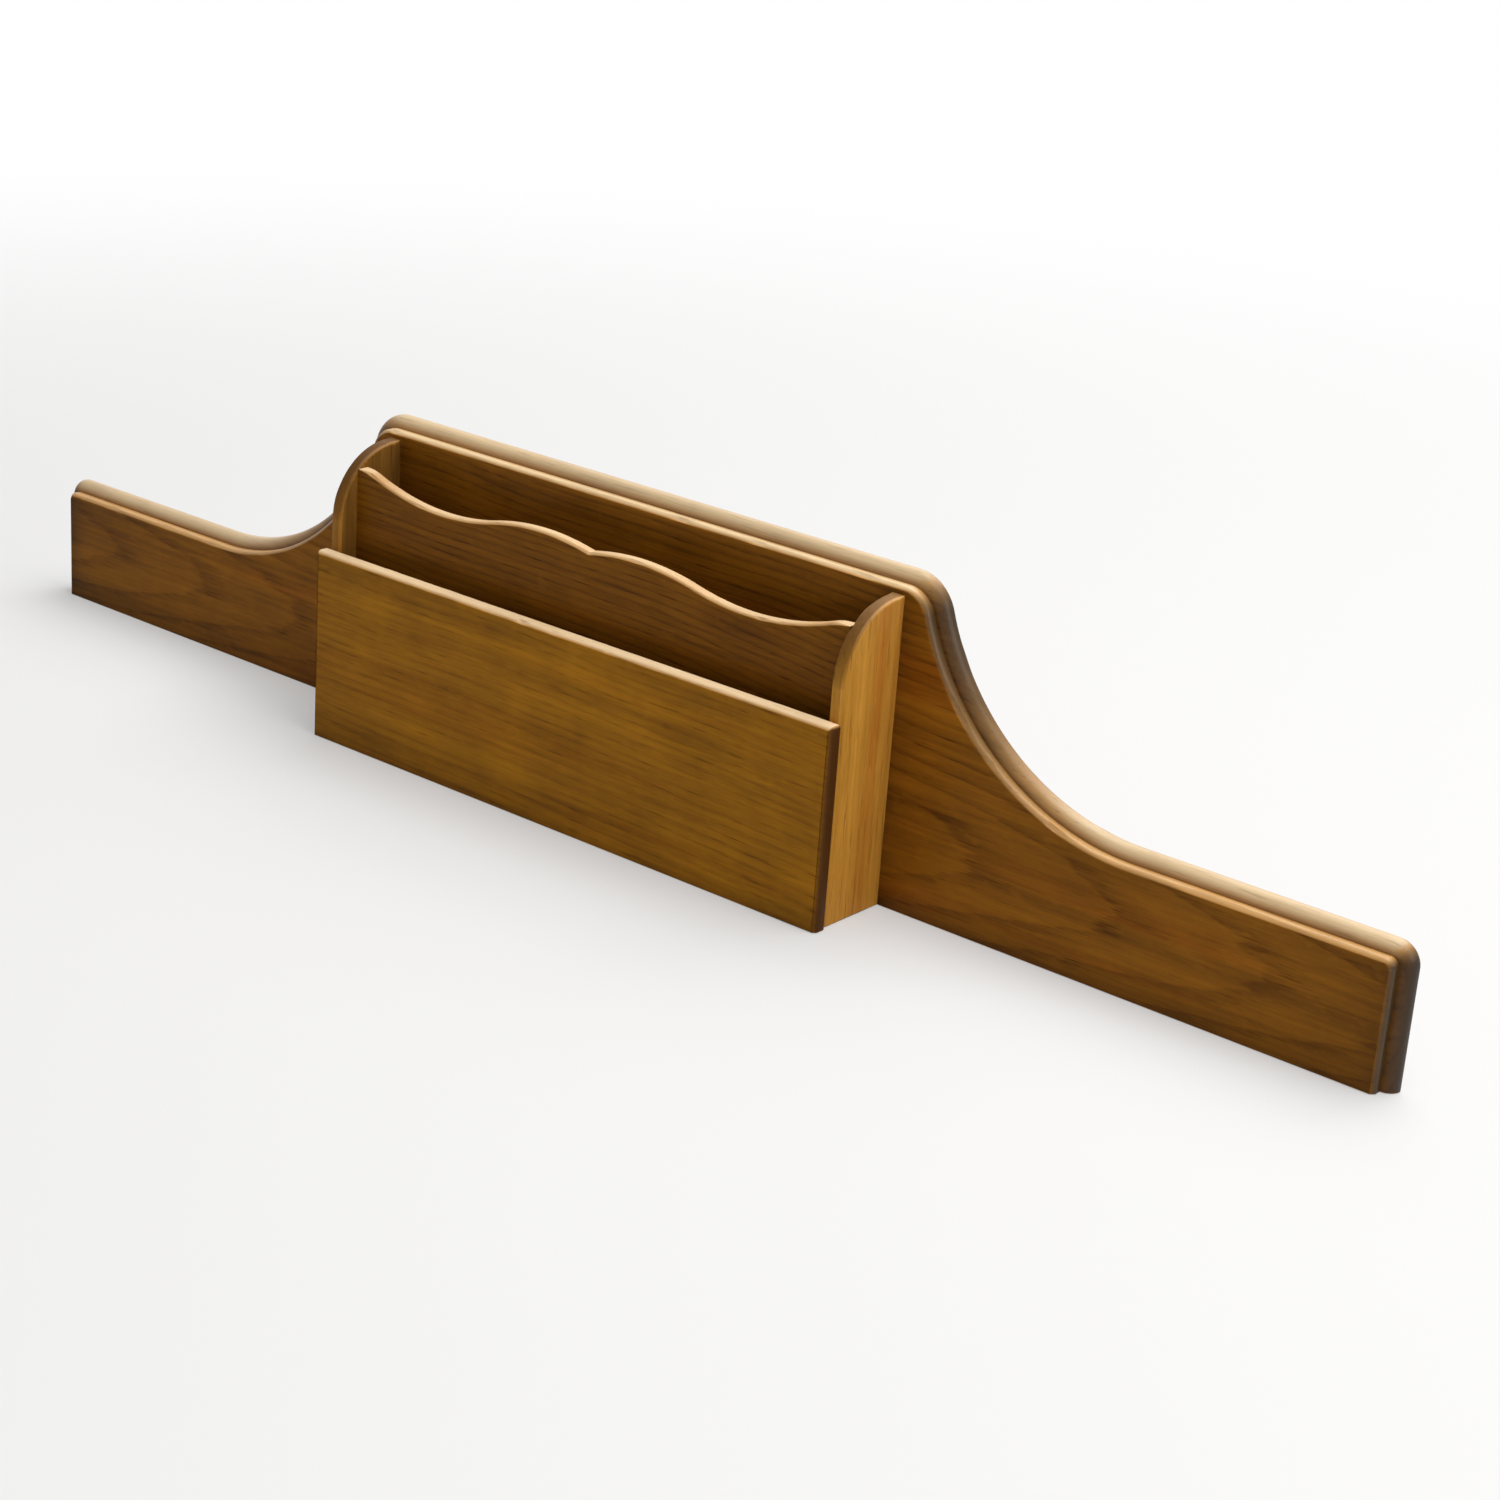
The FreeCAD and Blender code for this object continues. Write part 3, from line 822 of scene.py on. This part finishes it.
class LETTERHOLDER_OT_front_panel(bpy.types.Operator):
    """Straight panel across the front of the rack, with rubbed edges"""
    bl_idname = "letter_holder.front_panel"
    bl_label = "Front panel"

    # Roundings as multiples of the rack's arris
    corner_ratio = 1.25
    arris_ratio = 1.5

    rub_depth = 0.4 * MM
    rub_seed = 23
    foot_shade = 0.45
    foot_fade = 6 * MM
    rows = 24
    grain_offset = (-0.31, 0.02, 0.03)

    def execute(self, context):
        holder = context.scene.letter_holder
        corner = holder.rack.arris * self.corner_ratio
        centre = (PANEL_HIGH.x - corner, PANEL_HIGH.z - corner)
        half = chain(arc_points(centre, corner, 0, QUARTER, 7),
                     straight_points((centre[0], PANEL_HIGH.z), (0, PANEL_HIGH.z), 90))
        path = mirrored(half)
        arris = np.full(len(path), self.arris_ratio * holder.rack.arris)
        section = eased_section(PANEL_HIGH.y - PANEL_LOW.y, arris)
        section = worn_down(section, run_length(path), self.rub_depth, self.rub_seed)
        grids = board_grids(path, section, BASE, self.rows, GRAIN_ALONG)
        front = grids["front"]
        # Painted shade along the panel's foot
        foot = fading(front.points[..., 2], self.foot_fade)
        grids["front"] = front._replace(grime=self.foot_shade * foot)
        grids = standing_in(grids.values(), PANEL_LOW.y)
        piece = make_piece("oak_front_panel", grids)
        finish = holder.finish
        oak = oak_material("panel_oak", finish.panel_dark, finish.panel_light, self.grain_offset,
                           heart=60 * MM, spacing=3.8 * MM, lean=0.08, figure=0.14, mottle=0.9, redness=0.25)
        dress(piece, oak, "panel_oak", "front_panel")
        return {"FINISHED"}


class LETTERHOLDER_OT_ends(bpy.types.Operator):
    """Upright ends with a rounded front top corner, of one shape on both sides"""
    bl_idname = "letter_holder.ends"
    bl_label = "Ends"

    rub_depth = 0.4 * MM
    rub_seeds = {"left_end": 31, "right_end": 37}
    # The left end's edges get half the pale wear, as painted shade on that end
    lit_edge_shares = {"left_end": 0.5, "right_end": 1.0}

    # Wear of an edge's flats and of its arrises
    flat_wear = 0.25
    arris_wear = 0.45

    # The edge is left square where it meets the backboard
    square_length = 3 * MM
    least_arris = 0.04

    # The outside is dirty and rubbed near its top, and the inside is darkened all over by painted shade
    handled_fade = 11 * MM
    handled_grime = 0.2
    handled_wear = 0.07
    inner_shade = 0.5

    rows = 26
    grain_turn = (0.0, QUARTER, 0.0)
    grain_offsets = {"left_end": (0.05, 0.02, 0.21), "right_end": (-0.12, 0.01, 0.1)}

    def build(self, name, side, stain, path, arris):
        """One end: its board, made in (along, depth, up) from the outside, placed at its side of the rack."""
        section = eased_section(END_HIGH.x - END_LOW.x, arris)
        section = worn_down(section, run_length(path), self.rub_depth, self.rub_seeds[name])
        wear = self.flat_wear * section.wear + self.arris_wear * abs(section.bite)
        section = section._replace(wear=self.lit_edge_shares[name] * wear)
        grids = board_grids(path, section, BASE, self.rows, GRAIN_UP)
        outer = grids["front"]
        handled = fading(END_HIGH.z - outer.points[..., 2], self.handled_fade)
        grids["front"] = outer._replace(grime=self.handled_grime * handled,
                                        wear=np.maximum(outer.wear, self.handled_wear * handled))
        inner = grids["back"]
        # Painted shade over the inner face, less on its worn edges
        grids["back"] = inner._replace(grime=inner.grime + self.inner_shade * (1 - inner.wear))
        placed = []
        for grid in grids.values():
            along, depth, up = np.moveaxis(grid.points, -1, 0)
            placed.append(grid._replace(points=np.stack([side * (END_HIGH.x - depth), along, up], axis=-1)))
        piece = make_piece("oak_" + name, placed)
        oak = oak_material(name + "_oak", *stain, self.grain_offsets[name], self.grain_turn, lean=0.03,
                           figure=0.12, mottle=0.45)
        dress(piece, oak, "end_oak", name)

    def execute(self, context):
        holder = context.scene.letter_holder
        radius = holder.rack.end_corner
        centre = (END_LOW.y + radius, END_HIGH.z - radius)
        path = chain(straight_points((END_HIGH.y, END_HIGH.z), (centre[0], END_HIGH.z), 8),
                     arc_points(centre, radius, QUARTER, 2 * QUARTER, 40))
        arris = holder.rack.arris * np.clip(run_length(path) / self.square_length, self.least_arris, 1.0)
        finish = holder.finish
        self.build("left_end", -1, (finish.left_dark, finish.left_light), path, arris)
        self.build("right_end", 1, (finish.right_dark, finish.right_light), path, arris)
        return {"FINISHED"}


class LETTERHOLDER_OT_divider(bpy.types.Operator):
    """Thin board between the compartments, with a wavy top"""
    bl_idname = "letter_holder.divider"
    bl_label = "Divider"

    tip_round = 18 * MM

    # The edge is left square at its tips, in the housings
    square_length = 8 * MM
    least_arris = 0.04

    rub_depth = 0.35 * MM
    rub_seed = 43
    rub_share = 0.85
    rows = 20
    grain_offset = (0.37, 0.03, 0.02)

    def outline(self, rack):
        """Half of the wavy top: a level tip, its round, a concave dip and a convex crest."""
        half = rack.clear_width / 2
        radius = rack.wave_radius
        tip_x = half - rack.tip_length
        meeting = (rack.crest_offset + rack.dip_offset) / 2
        dip = (rack.dip_offset, rack.dip_height + radius)
        swing = math.asin((rack.dip_offset - meeting) / radius)
        crest = (rack.crest_offset, dip[1] - 2 * radius * math.cos(swing))
        tip_z = dip[1] - math.sqrt(radius ** 2 - (tip_x - dip[0]) ** 2)
        tip_turn = math.acos((dip[1] - tip_z + self.tip_round) / (radius + self.tip_round))
        tip = (dip[0] + (radius + self.tip_round) * math.sin(tip_turn), tip_z - self.tip_round)
        notch_turn = math.asin(crest[0] / radius)
        dips = arc_points(dip, radius, 3 * QUARTER + tip_turn, 3 * QUARTER - swing, 46)
        crests = arc_points(crest, radius, QUARTER - swing, QUARTER + notch_turn, 36)
        return chain(straight_points((half, tip_z), (tip[0], tip_z), 8),
                     arc_points(tip, self.tip_round, QUARTER, QUARTER + tip_turn, 8), dips, crests)

    def execute(self, context):
        holder = context.scene.letter_holder
        path = mirrored(self.outline(holder.rack))
        distance = run_length(path)
        reach = np.minimum(distance, distance[-1] - distance)
        arris = holder.rack.arris * np.clip(reach / self.square_length, self.least_arris, 1.0)
        section = eased_section(DIVIDER_HIGH.y - DIVIDER_LOW.y, arris)
        section = worn_down(section, distance, self.rub_depth, self.rub_seed)
        section = section._replace(wear=self.rub_share * section.wear)
        grids = board_grids(path, section, FLOOR_TOP, self.rows, GRAIN_ALONG)
        piece = make_piece("oak_divider", standing_in(grids.values(), DIVIDER_LOW.y))
        finish = holder.finish
        oak = oak_material("divider_oak", finish.divider_dark, finish.divider_light, self.grain_offset,
                           spacing=3.0 * MM, figure=0.25)
        dress(piece, oak, "divider_oak", "divider")
        return {"FINISHED"}


class LETTERHOLDER_OT_floor(bpy.types.Operator):
    """Stain on the floor of the compartments"""
    bl_idname = "letter_holder.floor"
    bl_label = "Floor of the rack"

    grain_offset = (0.6, 0.05, 0.02)

    def execute(self, context):
        finish = context.scene.letter_holder.finish
        oak = oak_material("floor_oak", finish.board_dark, finish.board_light, self.grain_offset)
        repaint("bottom_board", oak)
        return {"FINISHED"}


class LETTERHOLDER_OT_fastenings(bpy.types.Operator):
    """Dulled steel on the screws and pins"""
    bl_idname = "letter_holder.fastenings"
    bl_label = "Screws and pins"

    def execute(self, context):
        repaint("back_screws", steel_material("screw_steel"))
        repaint("front_pins", steel_material("pin_steel"))
        return {"FINISHED"}


class LETTERHOLDER_OT_stage(bpy.types.Operator):
    """Plain pale floor, soft lamps, white surroundings and the camera"""
    bl_idname = "letter_holder.stage"
    bl_label = "Stage"

    floor_reach = 9.0
    floor_drop = 0.3 * MM
    view_reach = 50.0

    # Lamps: place, point that they face, and size
    key_lamp = ((0.5, 0.35, 2.1), (0.0, 0.0, 0.05), (2.6, 1.8))
    back_lamp = ((-0.6, 2.6, 2.2), (-0.6, 2.6, 0.0), (3.2, 2.2))
    side_lamp = ((1.9, -0.1, 0.9), (0.1, 0.0, 0.08), (1.2, 1.0))

    def floor(self, stage):
        """Square floor that shows its own shade near the middle and fades to white in direct view."""
        reach = self.floor_reach
        mesh = bpy.data.meshes.new("floor")
        corners = np.array([(-1, -1), (1, -1), (1, 1), (-1, 1)]) * reach
        mesh.from_pydata([(x, y, -self.floor_drop) for x, y in corners], [], [(0, 1, 2, 3)])
        material, tree = new_material("pale_floor")
        surface = put(tree, "BsdfPrincipled",
                      {"Base Color": stage.floor, "Roughness": 0.9, "Specular IOR Level": 0.1})
        white = put(tree, "Emission", {"Color": WHITE, "Strength": 1.0})
        spot = put(tree, "TexCoord").outputs["Object"]
        away = put(tree, "VectorMath", {0: spot}, operation="LENGTH").outputs["Value"]
        share_white = remap(tree, away, stage.near, stage.far, stage.least_white, 1.0)
        share_white = calc(tree, "MULTIPLY", share_white, seen_directly(tree))
        both = put(tree, "MixShader", {0: share_white, 1: surface.outputs[0], 2: white.outputs[0]})
        put(tree, "OutputMaterial", {"Surface": both.outputs[0]})
        mesh.materials.append(material)
        floor = add_object("floor", mesh)

    def lamp(self, name, spot, aim, size, energy):
        """Soft rectangular lamp."""
        data = bpy.data.lights.new(name, "AREA")
        data.shape = "RECTANGLE"
        data.size, data.size_y = size
        data.energy = energy
        lamp = add_object(name, data)
        lamp.location = spot
        lamp.rotation_mode = "QUATERNION"
        lamp.rotation_quaternion = (Vector(aim) - Vector(spot)).to_track_quat("-Z", "Y")

    def surroundings(self, stage):
        """White to the camera and in gloss, and a soft even light on everything else."""
        world = bpy.data.worlds.new("surroundings")
        bpy.context.scene.world = world
        world.use_nodes = True
        tree = world.node_tree
        tree.nodes.clear()
        strength = calc(tree, "MULTIPLY_ADD", seen_directly(tree), 1.0 - stage.sky, stage.sky)
        light = put(tree, "Background", {"Color": WHITE, "Strength": strength})
        put(tree, "OutputWorld", {"Surface": light.outputs[0]})

    def camera(self, stage):
        """Camera that looks from the eye at the aim, turned about its own axis by the roll."""
        data = bpy.data.cameras.new("camera")
        data.lens = stage.lens
        data.clip_end = self.view_reach
        camera = add_object("camera", data)
        camera.location = stage.eye
        look = (Vector(stage.aim) - Vector(stage.eye)).to_track_quat("-Z", "Y")
        camera.rotation_mode = "QUATERNION"
        camera.rotation_quaternion = look @ Quaternion((0, 0, 1), stage.roll)
        bpy.context.scene.camera = camera

    def execute(self, context):
        stage = context.scene.letter_holder.stage
        self.floor(stage)
        self.lamp("key_lamp", *self.key_lamp, stage.key_power)
        self.lamp("back_lamp", *self.back_lamp, stage.back_power)
        self.lamp("side_lamp", *self.side_lamp, stage.side_power)
        self.surroundings(stage)
        self.camera(stage)
        context.scene.view_settings.view_transform = "Standard"
        return {"FINISHED"}


class LETTERHOLDER_PT_panel(bpy.types.Panel):
    """Sidebar list of the pieces and their settings"""
    bl_idname = "LETTERHOLDER_PT_panel"
    bl_label = "Letter Holder"
    bl_space_type = "VIEW_3D"
    bl_region_type = "UI"
    bl_category = "Letter Holder"

    def draw(self, context):
        holder = context.scene.letter_holder
        for operator in OPERATORS:
            self.layout.operator(operator.bl_idname)
        for group in (holder.backboard, holder.rack, holder.finish, holder.stage):
            box = self.layout.box()
            for key in group.bl_rna.properties.keys():
                if key not in ("rna_type", "name"):
                    box.prop(group, key)


SETTINGS = (BackboardSettings, RackSettings, FinishSettings, StageSettings, HolderSettings)
OPERATORS = (LETTERHOLDER_OT_backboard, LETTERHOLDER_OT_front_panel, LETTERHOLDER_OT_ends,
             LETTERHOLDER_OT_divider, LETTERHOLDER_OT_floor, LETTERHOLDER_OT_fastenings,
             LETTERHOLDER_OT_stage)


def register():
    for kind in (*SETTINGS, *OPERATORS, LETTERHOLDER_PT_panel):
        bpy.utils.register_class(kind)
    bpy.types.Scene.letter_holder = bpy.props.PointerProperty(type=HolderSettings)


def unregister():
    del bpy.types.Scene.letter_holder
    for kind in reversed((*SETTINGS, *OPERATORS, LETTERHOLDER_PT_panel)):
        bpy.utils.unregister_class(kind)


def main():
    register()
    bpy.ops.letter_holder.backboard()
    bpy.ops.letter_holder.front_panel()
    bpy.ops.letter_holder.ends()
    bpy.ops.letter_holder.divider()
    bpy.ops.letter_holder.floor()
    bpy.ops.letter_holder.fastenings()
    bpy.ops.letter_holder.stage()


if __name__ == "__main__":
    main()
